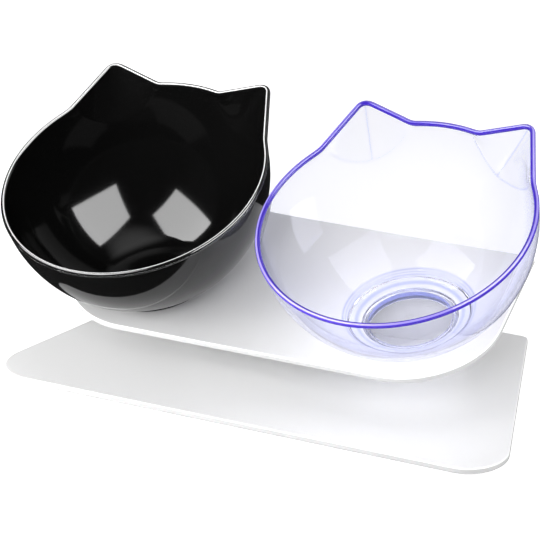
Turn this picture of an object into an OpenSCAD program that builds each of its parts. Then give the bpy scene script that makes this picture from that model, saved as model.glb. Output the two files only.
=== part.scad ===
// Two cat-ear feeding bowls on a tilted stand. Millimetres, +Z up, +X along the
// length, -Y towards the animal. Origin: middle of the footprint, on the floor.

/* [Base plate] */
// Width of the base plate along its front edge
base_front_w = 275; // [248:1:302]
// Width of the base plate along its rear edge
base_rear_w = 186; // [176:1:204]
// Front edge to rear edge of the base plate
base_depth = 140.3; // [130:0.1:154]
// Thickness of the base plate
base_t = 3; // [2.4:0.1:4]
// Corner radius at the front of the base plate
base_front_r = 19; // [8:0.5:24]
// Corner radius at the rear of the base plate
base_rear_r = 4; // [2:0.5:8]

/* [Platform] */
// Tilt of the platform towards the animal, degrees
tilt = 16.2; // [14:0.1:18]
// Thickness of the platform
plate_t = 3; // [2.4:0.1:3.6]
// Radius of the platform's front corners
plate_corner_r = 43; // [40:0.1:46]
// How far the middles of those corners lie behind the bowl centres
plate_back = 2.8; // [0:0.1:5]
// Bowl centres to the platform's rear edge, along the slope
plate_rear = 58.7; // [55:0.1:62]
// Half of the platform's width at its rear edge
plate_rear_half = 106.9; // [100:0.1:109]
// Base front edge to the bowl seats' centres
seat_y = 55; // [52:0.1:60]
// Base underside to the bowl seats' centres
seat_z = 43.3; // [40:0.1:46]

/* [Rear leg] */
// Width of the leg that carries the platform
leg_w = 152; // [120:1:160]
// Thickness of the leg
leg_t = 4; // [3:0.1:5]
// Base front edge to the middle of the leg
leg_y = 99; // [92:0.5:103]
// Radius of the leg's lower corners
leg_r = 8; // [4:0.5:12]
// Width of each of the two tabs that plug into the base plate
tab_w = 36; // [24:1:44]
// Distance between the middles of the two tabs
tab_pitch = 92; // [80:1:100]
// Clearance of a tab in its slot, on each side
tab_gap = 0.2; // [0.1:0.05:0.4]

/* [Bowls] */
// Distance between the two bowl centres
bowl_pitch = 135.2; // [133:0.1:140]
// Outside radius of the round bowl body
bowl_r = 64.7; // [62:0.1:65.5]
// Wall thickness of a bowl
wall = 2; // [1.6:0.1:2.4]
// How far the round body, if it were whole, would pass below the foot's underside
ball_sink = 4.3; // [3.5:0.1:5.5]
// How far the rim plane passes below that middle
rim_drop = 1.7; // [0:0.1:4]
// Tilt of the rim plane against the foot, rear side higher, degrees
rim_tilt = 7.6; // [5:0.1:10]
// Radius of the rounded bead round the rim
bead_r = 1.6; // [1.55:0.05:1.8]
// How much larger the bead's balls at the ears' corners are than the bead
bead_step = 0.4; // [0.35:0.05:0.6]
// Gap between the clear bowl and its bead
bead_gap = 0.05; // [0.02:0.01:0.1]
// Sides of the bead's section
bead_sides = 16; // [12:2:24]
// Turn between two sections of the bead on the rim's arcs
bead_turn = 4; // [3:1:6]

/* [Bowl foot] */
// How far the foot stands in from the round body at the foot's top
foot_in = 2.2; // [1.6:0.1:3]
// Thickness of the floor
floor_t = 2; // [1.6:0.1:2.6]
// How far the clear bowl's well stands out from the inside of the wall, at the well's top
well_step = 0.2; // [0.2:0.1:0.6]
// How much smaller the well's radius is at the floor than at its top
well_taper = 6.4; // [5:0.1:7]
// Edge of the well's floor to the outside of the ring under the foot
ring_in = 2.4; // [1.6:0.1:4]
// Height of that ring
ring_h = 4.5; // [3.8:0.1:5]
// Clearance between that ring and the hole in the platform
ring_gap = 0.4; // [0.3:0.05:0.6]

/* [Ears] */
// Rim angle where an ear starts at the side, from +X, degrees
ear_side_angle = 33; // [28:0.5:38]
// Rim angle where an ear ends near the back, degrees
ear_back_angle = 75; // [70:0.5:80]
// Rim angle of the ear's tip, degrees
ear_tip_angle = 56.3; // [52:0.1:60]
// How far the ear's tip stands out from the round rim
ear_tip_out = 14; // [11:0.1:16]
// Height of the ear's tip over the rim plane
ear_tip_rise = 5; // [3:0.1:7]
// Rim angle of the point where the ear's crease runs out in the wall, degrees
crease_angle = 59; // [55:0.5:63]
// How far that point lies in from the round rim
crease_in = 1.3; // [0.6:0.1:3]
// Depth of that point below the rim plane
crease_drop = 15.9; // [12:0.1:20]
// Radius of the crease, at mid wall
crease_r = 4.5; // [3.5:0.1:5]
// Flat on the outside of the crease, measured in from the mid-wall corner
crease_cut = 0.1; // [0:0.05:0.4]

/* [Pads] */
// Radius of each of the four non-slip pads
pad_r = 7; // [5:0.5:9]
// Thickness of a pad
pad_t = 1.6; // [1.2:0.1:2]
// How far a pad stands out of the base plate
pad_out = 0.8; // [0.5:0.1:1]
// Clearance round a pad in its recess
pad_gap = 0.1; // [0.05:0.05:0.2]
// Pad centres from the front corners, along X
pad_front_x = 30; // [28:1:40]
// Pad centres from the front edge
pad_front_y = 16; // [14:1:24]
// Pad centres from the rear corners, along X
pad_rear_x = 14; // [13:1:20]
// Pad centres from the rear edge
pad_rear_y = 14; // [13:1:20]

/* [Hidden] */
$fn = 96;

// The rim runs along the middle of the wall
rim_r = sqrt(pow(bowl_r - wall / 2, 2) - pow(rim_drop, 2));
ball_h = bowl_r - ball_sink;
ear_tip_reach = rim_r + ear_tip_out;
crease_reach = rim_r - crease_in;
// The foot and the well follow the round body's outside and inside at their tops
foot_h = floor_t + wall;
well_h = 2 * wall;
foot_r = ball_radius_at(bowl_r, foot_h) - foot_in;
well_top_r = ball_radius_at(bowl_r - wall, floor_t + well_h) + well_step;
well_floor_r = well_top_r - well_taper;
// Outside radius of the ring that drops into the platform
ring_r = well_floor_r - ring_in;
// Front-most point of the rim bead, from the base's front edge
rim_front = seat_y - ball_h * sin(tilt) + rim_drop * sin(tilt + rim_tilt)
    - rim_r * cos(tilt + rim_tilt) - bead_r;
mid_y = (base_depth + rim_front) / 2;

base_outline = [
    [-base_front_w / 2, 0],
    [base_front_w / 2, 0],
    [base_rear_w / 2, base_depth],
    [-base_rear_w / 2, base_depth]
];
base_radii = [base_front_r, base_front_r, base_rear_r, base_rear_r];

// The platform's side runs from its rear corner, tangent to the front corner's circle
corner_mid = [bowl_pitch / 2, plate_back];
side_run = [plate_rear_half, plate_rear] - corner_mid;
side_angle = atan2(side_run.y, side_run.x) - acos(plate_corner_r / norm(side_run));
side_pt = corner_mid + plate_corner_r * [cos(side_angle), sin(side_angle)];

// Ear corner points in the rim's frame: X across, Y to the rear, Z out of the bowl
ear_side = rim_pt(rim_r, ear_side_angle, 0);
ear_back = rim_pt(rim_r, ear_back_angle, 0);
ear_tip = rim_pt(ear_tip_reach, ear_tip_angle, ear_tip_rise);
ear_root = rim_pt(crease_reach, crease_angle, -crease_drop);
crease_dir = unit(ear_root - ear_tip);
crease_len = norm(ear_root - ear_tip);
flat_side = unit(across(ear_side - ear_tip, crease_dir));
flat_back = unit(across(ear_back - ear_tip, crease_dir));
ear_in = unit(flat_side + flat_back);
ear_half = acos(flat_side * flat_back) / 2;
// The ear's opening lies in the plane of its two base points and its tip
mouth_up = unit(cross(ear_back - ear_tip, ear_side - ear_tip));
ear_depth = norm(ear_tip - (ear_side + ear_back) / 2);
// Shares: how far the ear tools run past the crease's ends, and how deep they reach in
run_out_share = 0.3;
reach_in_share = 1.15;
// Share of the bead's radius by which a straight length runs past the ear's tip
bar_lap_share = 0.15;

// Radius of the level circle at height z of a ball round the bowl's middle
function ball_radius_at(r, z) = sqrt(r * r - pow(ball_h - z, 2));
function unit(v) = v / norm(v);
function across(v, dir) = v - (v * dir) * dir;
function rim_pt(r, a, z) = [r * cos(a), r * sin(a), z];
function wrap(list, i) = list[(i + len(list)) % len(list)];
// Half of the inner angle at corner i of an outline
function half_angle(pts, i) =
    acos(unit(wrap(pts, i - 1) - pts[i]) * unit(wrap(pts, i + 1) - pts[i])) / 2;
function corner_centre(pts, r, i) =
    pts[i] + unit(unit(wrap(pts, i - 1) - pts[i]) + unit(wrap(pts, i + 1) - pts[i]))
    * r / sin(half_angle(pts, i));
function tangent_pt(pts, r, i, to) =
    pts[i] + unit(wrap(pts, i + to) - pts[i]) * r / tan(half_angle(pts, i));

// An outline whose corners are true arcs
module rounded_outline(pts, radii) {
    polygon([
        for (i = [0 : len(pts) - 1], to = [-1, 1]) tangent_pt(pts, radii[i], i, to)
    ]);
    for (i = [0 : len(pts) - 1])
        translate(corner_centre(pts, radii[i], i))
            circle(radii[i]);
}

module frame_at(o, x, z) {
    y = cross(z, x);
    multmatrix([
        [x.x, y.x, z.x, o.x],
        [x.y, y.y, z.y, o.y],
        [x.z, y.z, z.z, o.z],
        [0, 0, 0, 1]
    ]) children();
}

// From the base's front edge and underside to the footprint's middle on the floor
module on_floor() {
    translate([0, -mid_y, pad_out]) children();
}

// The platform's top face, with the bowl centres on its X axis
module on_platform() {
    on_floor()
        translate([0, seat_y, seat_z])
            rotate([tilt, 0, 0]) children();
}

module at_bowl(side) {
    on_platform()
        translate([side * bowl_pitch / 2, 0, 0]) children();
}

module at_rim() {
    translate([0, 0, ball_h])
        rotate([rim_tilt, 0, 0])
            translate([0, 0, -rim_drop]) children();
}

module at_pad(x_side, front) {
    x = front ? base_front_w / 2 - pad_front_x : base_rear_w / 2 - pad_rear_x;
    y = front ? pad_front_y : base_depth - pad_rear_y;
    translate([x_side * x, y, 0]) children();
}

module base_plate() {
    color("whitesmoke")
        on_floor()
            difference() {
                linear_extrude(base_t)
                    rounded_outline(base_outline, base_radii);
                for (s = [-1, 1])
                    translate([s * tab_pitch / 2, leg_y, base_t / 2])
                        cube([tab_w + 2 * tab_gap, leg_t + 2 * tab_gap, 2 * base_t], center = true);
                for (s = [-1, 1], front = [true, false])
                    at_pad(s, front)
                        translate([0, 0, -pad_t])
                            cylinder(r = pad_r + pad_gap, h = 2 * pad_t - pad_out);
            }
}

module platform_outline() {
    for (s = [-1, 1])
        translate([s * corner_mid.x, corner_mid.y])
            circle(plate_corner_r);
    polygon([
        [-corner_mid.x, corner_mid.y - plate_corner_r],
        [corner_mid.x, corner_mid.y - plate_corner_r],
        corner_mid,
        side_pt,
        [plate_rear_half, plate_rear],
        [-plate_rear_half, plate_rear],
        [-side_pt.x, side_pt.y],
        [-corner_mid.x, corner_mid.y]
    ]);
}

// The upright panel reaches into the platform's thickness at its top
module rear_leg() {
    top_z = seat_z + (leg_y - seat_y) * tan(tilt);
    translate([0, leg_y, 0])
        rotate([90, 0, 0])
            translate([0, 0, -leg_t / 2])
                linear_extrude(leg_t) {
                    for (s = [-1, 1])
                        translate([s * (leg_w / 2 - leg_r), base_t + leg_r])
                            circle(leg_r);
                    translate([-leg_w / 2, base_t + leg_r])
                        square([leg_w, top_z - base_t - leg_r]);
                    translate([-leg_w / 2 + leg_r, base_t])
                        square([leg_w - 2 * leg_r, leg_r]);
                    for (s = [-1, 1])
                        translate([s * tab_pitch / 2 - tab_w / 2, tab_gap])
                            square([tab_w, base_t]);
                }
}

module tilted_platform() {
    color("white") {
        difference() {
            union() {
                on_platform()
                    translate([0, 0, -plate_t])
                        linear_extrude(plate_t)
                            platform_outline();
                difference() {
                    on_floor() rear_leg();
                    on_platform()
                        translate([-leg_w, -plate_rear, -plate_t / 2])
                            cube([2 * leg_w, 3 * plate_rear, plate_rear]);
                }
            }
            for (s = [-1, 1])
                at_bowl(s)
                    translate([0, 0, -2 * plate_t])
                        cylinder(r = ring_r + ring_gap, h = 3 * plate_t);
        }
    }
}

// The ear as a straight wedge along its crease, drawn across it
module along_crease() {
    frame_at(ear_tip, ear_in, crease_dir)
        translate([0, 0, -crease_len * run_out_share])
            linear_extrude(crease_len * (1 + 2 * run_out_share)) children();
}

module ear_wedge_outside() {
    apex = -wall / 2 / sin(ear_half);
    deep = ear_depth * reach_in_share;
    flat_y = (crease_cut - apex) * tan(ear_half);
    deep_y = (deep - apex) * tan(ear_half);
    along_crease()
        polygon([
            [crease_cut, flat_y],
            [crease_cut, -flat_y],
            [deep, -deep_y],
            [deep, deep_y]
        ]);
}

module ear_wedge_inside() {
    r = crease_r - wall / 2;
    apex = wall / 2 / sin(ear_half);
    centre = apex + r / sin(ear_half);
    tangent_x = centre - r * sin(ear_half);
    deep = ear_depth * reach_in_share;
    deep_y = (deep - apex) * tan(ear_half);
    along_crease() {
        translate([centre, 0])
            circle(r);
        polygon([
            [tangent_x, r * cos(ear_half)],
            [tangent_x, -r * cos(ear_half)],
            [deep, -deep_y],
            [deep, deep_y]
        ]);
    }
}

module ear_outside() {
    intersection() {
        ear_wedge_outside();
        frame_at(ear_tip, unit(ear_side - ear_tip), mouth_up)
            translate([-2 * ear_tip_reach, -2 * ear_tip_reach, -4 * ear_tip_reach])
                cube(4 * ear_tip_reach);
    }
}

module both_ears() {
    children();
    mirror([1, 0, 0]) children();
}

// Ball whose poles lie square to the rim
module rim_ball(r) {
    at_rim()
        translate([0, 0, rim_drop])
            sphere(r);
}

// The clear bowl's floor has a well, and the black bowl's inside runs down to its floor
module bowl_body(has_well) {
    inside_z = has_well ? floor_t + wall / 2 : floor_t;
    difference() {
        union() {
            difference() {
                at_rim()
                    difference() {
                        translate([0, 0, rim_drop])
                            sphere(bowl_r);
                        translate([-2 * bowl_r, -2 * bowl_r, 0])
                            cube(4 * bowl_r);
                    }
                translate([-bowl_r, -bowl_r, floor_t / 2 - bowl_r])
                    cube([2 * bowl_r, 2 * bowl_r, bowl_r]);
            }
            cylinder(r = foot_r, h = foot_h);
            translate([0, 0, -ring_h])
                cylinder(r = ring_r, h = ring_h + floor_t / 2);
            at_rim() both_ears() ear_outside();
        }
        intersection() {
            rim_ball(bowl_r - wall);
            translate([-bowl_r, -bowl_r, inside_z])
                cube([2 * bowl_r, 2 * bowl_r, 2 * bowl_r]);
        }
        if (has_well)
            translate([0, 0, floor_t])
                cylinder(r1 = well_floor_r, r2 = well_top_r, h = well_h);
        translate([0, 0, -2 * ring_h])
            cylinder(r = ring_r - wall, h = 2 * ring_h);
        at_rim() both_ears() ear_wedge_inside();
    }
}

// A straight length of bead along an ear's edge
module bead_bar(from, to) {
    dir = unit(to - from);
    frame_at(from, unit(across(mouth_up, dir)), dir)
        cylinder(r = bead_r, h = norm(to - from) + bead_r * bar_lap_share);
}

// A length of bead round the rim, between two rim angles
module bead_arc(from, to) {
    rotate([0, 0, from])
        rotate_extrude(angle = to - from)
            translate([rim_r, 0])
                circle(bead_r);
}

module side_bead() {
    bead_arc(180 - ear_side_angle, 360 + ear_side_angle);
}

module back_bead() {
    bead_arc(ear_back_angle, 180 - ear_back_angle);
}

module ear_bead() {
    bead_bar(ear_side, ear_tip);
    bead_bar(ear_back, ear_tip);
    for (p = [ear_side, ear_back, ear_tip])
        translate(p)
            sphere(bead_r + bead_step);
}

module black_bowl() {
    color("black")
        at_bowl(-1)
            union() {
                union() {
                    union() {
                        union() {
                            bowl_body(false);
                            at_rim() side_bead();
                        }
                        at_rim() back_bead();
                    }
                    at_rim() ear_bead();
                }
                at_rim() mirror([1, 0, 0]) ear_bead();
            }
}

module clear_bowl() {
    color("lavender", 0.4)
        at_bowl(1)
            difference() {
                bowl_body(true);
                at_rim() side_bead();
                at_rim() back_bead();
                at_rim() ear_bead();
                at_rim() mirror([1, 0, 0]) ear_bead();
            }
}

// Points along the rim between two angles
function rim_run(from, to) =
    let (steps = ceil((to - from) / bead_turn))
        [for (i = [0:steps]) rim_pt(rim_r, from + (to - from) * i / steps, 0)];

// Points of the closed line that the bead follows
bead_line = concat(
    rim_run(180 - ear_side_angle, 360 + ear_side_angle),
    [ear_tip],
    rim_run(ear_back_angle, 180 - ear_back_angle),
    [[-ear_tip.x, ear_tip.y, ear_tip.z]]
);

// Section of a bar of radius r at point i of a closed line, mitred to both neighbours
function mitred_ring(line, i, r) =
    let (
        count = len(line),
        before = unit(line[i] - line[(i + count - 1) % count]),
        after = unit(line[(i + 1) % count] - line[i]),
        ahead = unit(before + after),
        out = unit(cross(ahead, [0, 0, 1])),
        up = cross(out, ahead)
    )
        [for (k = [0:bead_sides - 1])
            let (turn = 360 * k / bead_sides)
                line[i] + r * (cos(turn) * out / (ahead * after) + sin(turn) * up)];

// Closed bar of radius r along a closed line
module closed_bar(line, r) {
    count = len(line);
    rings = [for (i = [0:count - 1]) each mitred_ring(line, i, r)];
    faces = [for (i = [0:count - 1], k = [0:bead_sides - 1])
        let (
            next_i = (i + 1) % count,
            next_k = (k + 1) % bead_sides,
            a = i * bead_sides + k,
            b = i * bead_sides + next_k,
            c = next_i * bead_sides + next_k,
            d = next_i * bead_sides + k
        )
            each [[a, b, c], [a, c, d]]];
    polyhedron(rings, faces);
}

module clear_bowl_rim() {
    color("slateblue")
        at_bowl(1)
            at_rim()
                closed_bar(bead_line, bead_r - bead_gap);
}

module pad(x_side, front) {
    color("gainsboro")
        on_floor()
            at_pad(x_side, front)
                translate([0, 0, -pad_out])
                    cylinder(r = pad_r, h = pad_t);
}

module pad_front_left() {
    pad(-1, true);
}

module pad_front_right() {
    pad(1, true);
}

module pad_rear_left() {
    pad(-1, false);
}

module pad_rear_right() {
    pad(1, false);
}

base_plate();
tilted_platform();
black_bowl();
clear_bowl();
clear_bowl_rim();
pad_front_left();
pad_front_right();
pad_rear_left();
pad_rear_right();
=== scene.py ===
import math

import bmesh
import bpy
import numpy as np
from mathutils import Matrix, Vector


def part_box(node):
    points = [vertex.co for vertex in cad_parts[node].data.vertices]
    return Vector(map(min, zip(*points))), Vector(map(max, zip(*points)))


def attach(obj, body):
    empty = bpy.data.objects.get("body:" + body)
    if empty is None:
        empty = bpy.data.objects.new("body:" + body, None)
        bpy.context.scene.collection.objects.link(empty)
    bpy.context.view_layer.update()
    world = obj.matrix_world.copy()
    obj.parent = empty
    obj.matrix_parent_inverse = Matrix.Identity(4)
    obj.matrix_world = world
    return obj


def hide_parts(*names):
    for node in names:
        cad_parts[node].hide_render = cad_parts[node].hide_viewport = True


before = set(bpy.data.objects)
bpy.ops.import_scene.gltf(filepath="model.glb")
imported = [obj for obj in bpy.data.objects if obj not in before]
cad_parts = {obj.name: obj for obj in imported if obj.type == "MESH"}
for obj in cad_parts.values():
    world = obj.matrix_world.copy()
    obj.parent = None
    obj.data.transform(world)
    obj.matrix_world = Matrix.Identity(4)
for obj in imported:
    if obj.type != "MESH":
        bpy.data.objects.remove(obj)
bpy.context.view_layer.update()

mm = 0.001
scene = bpy.context.scene
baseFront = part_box("base_plate")[0].y
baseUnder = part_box("base_plate")[0].z
print("frame loaded")


# the stand's places, seen from the middle of the base plate's front edge

stand = {
    "tilt": 16.2,
    "seatY": 55.0 * mm,
    "seatZ": 43.3 * mm,
}


def rotX(degrees):
    return Matrix.Rotation(math.radians(degrees), 4, "X")


onFloor = Matrix.Translation((0, baseFront, baseUnder))
onPlatform = onFloor @ Matrix.Translation((0, stand["seatY"], stand["seatZ"])) @ rotX(stand["tilt"])


# node helpers

# a ray's glossy depth is under this when it has been mirrored once, and over it when twice
mirroredOnce = 1.5


def addNode(tree, kind, **values):
    node = tree.nodes.new(kind)
    for name, value in values.items():
        setattr(node, name, value)
    return node


def bareMaterial(name):
    material = bpy.data.materials.new(name)
    material.use_nodes = True
    tree = material.node_tree
    tree.nodes.clear()
    return material, tree, addNode(tree, "ShaderNodeOutputMaterial")


def newMaterial(name):
    material, tree, output = bareMaterial(name)
    shader = addNode(tree, "ShaderNodeBsdfPrincipled")
    tree.links.new(shader.outputs["BSDF"], output.inputs["Surface"])
    return material, tree, shader


def rampBetween(tree, stops, interpolation="LINEAR"):
    ramp = addNode(tree, "ShaderNodeValToRGB")
    ramp.color_ramp.interpolation = interpolation
    while len(ramp.color_ramp.elements) < len(stops):
        ramp.color_ramp.elements.new(0.5)
    for element, (place, colour) in zip(ramp.color_ramp.elements, stops):
        element.position = place
        element.color = (*colour, 1)
    return ramp


def makeSkinGroup():
    # faint unevenness of moulded and cast plastic: colour, roughness and a slow wave in the surface
    group = bpy.data.node_groups.new("mouldedSkin", "ShaderNodeTree")
    face = group.interface
    colourIn = face.new_socket("Colour", in_out="INPUT", socket_type="NodeSocketColor")
    colourIn.default_value = (0.8, 0.8, 0.8, 1)
    knobs = (("Shade", 0.02), ("Roughness", 0.2), ("Spread", 0.05), ("Scale", 60.0), ("Wave", 0.1))
    for name, value in knobs:
        face.new_socket(name, in_out="INPUT", socket_type="NodeSocketFloat").default_value = value
    face.new_socket("Colour", in_out="OUTPUT", socket_type="NodeSocketColor")
    face.new_socket("Roughness", in_out="OUTPUT", socket_type="NodeSocketFloat")
    face.new_socket("Normal", in_out="OUTPUT", socket_type="NodeSocketVector")
    given = addNode(group, "NodeGroupInput")
    made = addNode(group, "NodeGroupOutput")
    place = addNode(group, "ShaderNodeTexCoord")
    noise = addNode(group, "ShaderNodeTexNoise")
    noise.inputs["Detail"].default_value = 3
    slow = addNode(group, "ShaderNodeTexNoise")
    slow.inputs["Detail"].default_value = 0
    slower = addNode(group, "ShaderNodeMath", operation="MULTIPLY")
    slower.inputs[1].default_value = 0.35
    group.links.new(place.outputs["Object"], noise.inputs["Vector"])
    group.links.new(place.outputs["Object"], slow.inputs["Vector"])
    group.links.new(given.outputs["Scale"], noise.inputs["Scale"])
    group.links.new(given.outputs["Scale"], slower.inputs[0])
    group.links.new(slower.outputs[0], slow.inputs["Scale"])
    centred = addNode(group, "ShaderNodeMath", operation="SUBTRACT")
    centred.inputs[1].default_value = 0.5
    group.links.new(noise.outputs["Fac"], centred.inputs[0])
    shade = addNode(group, "ShaderNodeMath", operation="MULTIPLY_ADD")
    shade.inputs[2].default_value = 1
    group.links.new(centred.outputs[0], shade.inputs[0])
    group.links.new(given.outputs["Shade"], shade.inputs[1])
    tinted = addNode(group, "ShaderNodeMix", data_type="RGBA", blend_type="MULTIPLY")
    tinted.inputs["Factor"].default_value = 1
    group.links.new(given.outputs["Colour"], tinted.inputs["A"])
    group.links.new(shade.outputs[0], tinted.inputs["B"])
    group.links.new(tinted.outputs["Result"], made.inputs["Colour"])
    rough = addNode(group, "ShaderNodeMath", operation="MULTIPLY_ADD")
    group.links.new(centred.outputs[0], rough.inputs[0])
    group.links.new(given.outputs["Spread"], rough.inputs[1])
    group.links.new(given.outputs["Roughness"], rough.inputs[2])
    group.links.new(rough.outputs[0], made.inputs["Roughness"])
    bump = addNode(group, "ShaderNodeBump")
    bump.inputs["Distance"].default_value = 0.0002
    group.links.new(given.outputs["Wave"], bump.inputs["Strength"])
    group.links.new(slow.outputs["Fac"], bump.inputs["Height"])
    group.links.new(bump.outputs["Normal"], made.inputs["Normal"])
    return group


mouldedSkin = makeSkinGroup()


def wearSkin(tree, shader, colour, shade=0.02, roughness=0.2, spread=0.05, scale=60.0, wave=0.1):
    skin = addNode(tree, "ShaderNodeGroup", node_tree=mouldedSkin)
    skin.inputs["Colour"].default_value = (*colour, 1)
    skin.inputs["Shade"].default_value = shade
    skin.inputs["Roughness"].default_value = roughness
    skin.inputs["Spread"].default_value = spread
    skin.inputs["Scale"].default_value = scale
    skin.inputs["Wave"].default_value = wave
    tree.links.new(skin.outputs["Colour"], shader.inputs["Base Color"])
    tree.links.new(skin.outputs["Roughness"], shader.inputs["Roughness"])
    tree.links.new(skin.outputs["Normal"], shader.inputs["Normal"])
    return skin


# materials

def makeWhiteSheet(name, level):
    material, tree, shader = newMaterial(name)
    wearSkin(tree, shader, (level,) * 3, shade=0.012, roughness=0.34, spread=0.08, scale=90, wave=0.06)
    shader.inputs["Specular IOR Level"].default_value = 0.4
    return material


def makePaintedArrisHighlight():
    # painted highlight: the upper arris is a lighter white than the sheets, under a glossy coat
    material, tree, shader = newMaterial("paintedArrisHighlight")
    wearSkin(tree, shader, (0.97,) * 3, shade=0.01, roughness=0.12, spread=0.05, scale=200, wave=0.02)
    shader.inputs["Coat Weight"].default_value = 0.5
    shader.inputs["Coat Roughness"].default_value = 0.08
    return material


def makeBlackGloss():
    material, tree, shader = newMaterial("blackGloss")
    wearSkin(tree, shader, (0.0035,) * 3, shade=0.3, roughness=0.08, spread=0.03, scale=45, wave=0.12)
    shader.inputs["Specular IOR Level"].default_value = 0.42
    return material


def makeClearPlastic():
    # the tint deepens where the wall is seen at a slant
    material, tree, shader = newMaterial("clearPlastic")
    skin = wearSkin(tree, shader, (1, 1, 1), shade=0.004, roughness=0.012, spread=0.006, wave=0.02)
    slant = addNode(tree, "ShaderNodeLayerWeight")
    slant.inputs["Blend"].default_value = 0.35
    straight, slanted, grazing = (0.965, 0.965, 0.988), (0.87, 0.88, 0.985), (0.45, 0.48, 1.0)
    tint = rampBetween(tree, [(0.0, straight), (0.45, slanted), (1.0, grazing)])
    # painted shade: a point attribute darkens the colour towards blue at the ears' folds and facets, the
    # locating ring and the well's lines
    depth = addNode(tree, "ShaderNodeAttribute", attribute_name="paintedShadeDepth")
    deeper = addNode(tree, "ShaderNodeMix", data_type="RGBA", blend_type="MULTIPLY")
    deeper.inputs["B"].default_value = (0.45, 0.5, 0.9, 1)
    tree.links.new(slant.outputs["Facing"], tint.inputs["Fac"])
    tree.links.new(depth.outputs["Fac"], deeper.inputs["Factor"])
    tree.links.new(tint.outputs["Color"], deeper.inputs["A"])
    tree.links.new(deeper.outputs["Result"], skin.inputs["Colour"])
    shader.inputs["IOR"].default_value = 1.46
    shader.inputs["Transmission Weight"].default_value = 1
    shader.inputs["Specular Tint"].default_value = (0.12, 0.12, 0.15, 1)
    # light from the lamps passes through, so that the bowl's shadow is pale, and a ray that is
    # mirrored twice between the faces of the wall gets out
    path = addNode(tree, "ShaderNodeLightPath")
    caught = addNode(tree, "ShaderNodeMath", operation="GREATER_THAN")
    caught.inputs[1].default_value = mirroredOnce
    either = addNode(tree, "ShaderNodeMath", operation="MAXIMUM")
    through = addNode(tree, "ShaderNodeBsdfTransparent")
    through.inputs["Color"].default_value = (0.96, 0.96, 0.98, 1)
    choice = addNode(tree, "ShaderNodeMixShader")
    output = next(node for node in tree.nodes if node.type == "OUTPUT_MATERIAL")
    tree.links.new(path.outputs["Glossy Depth"], caught.inputs[0])
    tree.links.new(path.outputs["Is Shadow Ray"], either.inputs[0])
    tree.links.new(caught.outputs[0], either.inputs[1])
    tree.links.new(either.outputs[0], choice.inputs[0])
    tree.links.new(shader.outputs["BSDF"], choice.inputs[1])
    tree.links.new(through.outputs[0], choice.inputs[2])
    tree.links.new(choice.outputs[0], output.inputs["Surface"])
    return material


def stripeRamp(tree, stops):
    around = addNode(tree, "ShaderNodeAttribute", attribute_name="aroundBar")
    ramp = rampBetween(tree, stops, "EASE")
    tree.links.new(around.outputs["Fac"], ramp.inputs["Fac"])
    return ramp


def makeBlackBead():
    material, tree, shader = newMaterial("blackBead")
    # painted highlight: a pale stripe runs round the top of the black bar
    dark, paintedHighlight = (0.004, 0.004, 0.004), (0.9, 0.9, 0.9)
    stops = [(0.0, dark), (0.66, dark), (0.69, paintedHighlight), (0.735, paintedHighlight), (0.765, dark), (1.0, dark)]
    ramp = stripeRamp(tree, stops)
    skin = wearSkin(tree, shader, dark, shade=0.1, roughness=0.09, spread=0.03, scale=80, wave=0.03)
    tree.links.new(ramp.outputs["Color"], skin.inputs["Colour"])
    shader.inputs["Specular IOR Level"].default_value = 0.8
    return material


def makeVioletBead():
    material, tree, shader = newMaterial("violetBead")
    # painted highlight and shade: a pale stripe runs along the top of the violet bar, and the violet is
    # deeper on one side of it
    deep, bright, paintedHighlight = (0.035, 0.012, 0.38), (0.058, 0.027, 0.52), (0.42, 0.35, 0.95)
    stops = [(0.0, bright), (0.5, deep), (0.72, bright), (0.79, paintedHighlight), (0.84, paintedHighlight), (0.92, bright)]
    ramp = stripeRamp(tree, stops)
    skin = wearSkin(tree, shader, bright, shade=0.05, roughness=0.1, spread=0.03, scale=80, wave=0.03)
    tree.links.new(ramp.outputs["Color"], skin.inputs["Colour"])
    shader.inputs["Specular IOR Level"].default_value = 0.5
    shader.inputs["Coat Weight"].default_value = 0.4
    return material


def makeGripRubber():
    material, tree, shader = newMaterial("gripRubber")
    wearSkin(tree, shader, (0.62, 0.62, 0.62), shade=0.12, roughness=0.7, spread=0.1, scale=700, wave=0.5)
    shader.inputs["Specular IOR Level"].default_value = 0.25
    return material


# painted shade: the platform and its leg use a darker copy of the base plate's white, and the sheets' sides
# and lower arrises a darker one still
baseSheet = makeWhiteSheet("baseSheet", 0.85)
platformSheet = makeWhiteSheet("platformSheet", 0.62)
sheetSide = makeWhiteSheet("sheetSide", 0.55)
paintedArrisHighlight = makePaintedArrisHighlight()
blackGloss = makeBlackGloss()
clearPlastic = makeClearPlastic()
blackBead = makeBlackBead()
violetBead = makeVioletBead()
gripRubber = makeGripRubber()
print("materials made")


# mesh helpers

def linkMesh(name, mesh, *materials):
    thing = bpy.data.objects.new(name, mesh)
    scene.collection.objects.link(thing)
    for material in materials:
        mesh.materials.append(material)
    return thing


def applyModifiers(thing):
    depsgraph = bpy.context.evaluated_depsgraph_get()
    mesh = bpy.data.meshes.new_from_object(thing.evaluated_get(depsgraph))
    thing.modifiers.clear()
    old = thing.data
    thing.data = mesh
    bpy.data.meshes.remove(old)


def finishPiece(thing, body, slotName, *nodes):
    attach(thing, body)
    if nodes:
        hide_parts(*nodes)


# sheets: an outline of true arcs, with both arrises rounded

def arcPoints(centre, radius, start, stop, steps):
    angles = np.radians(np.linspace(start, stop, steps + 1))
    return [(centre[0] + radius * math.cos(a), centre[1] + radius * math.sin(a)) for a in angles]


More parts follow.
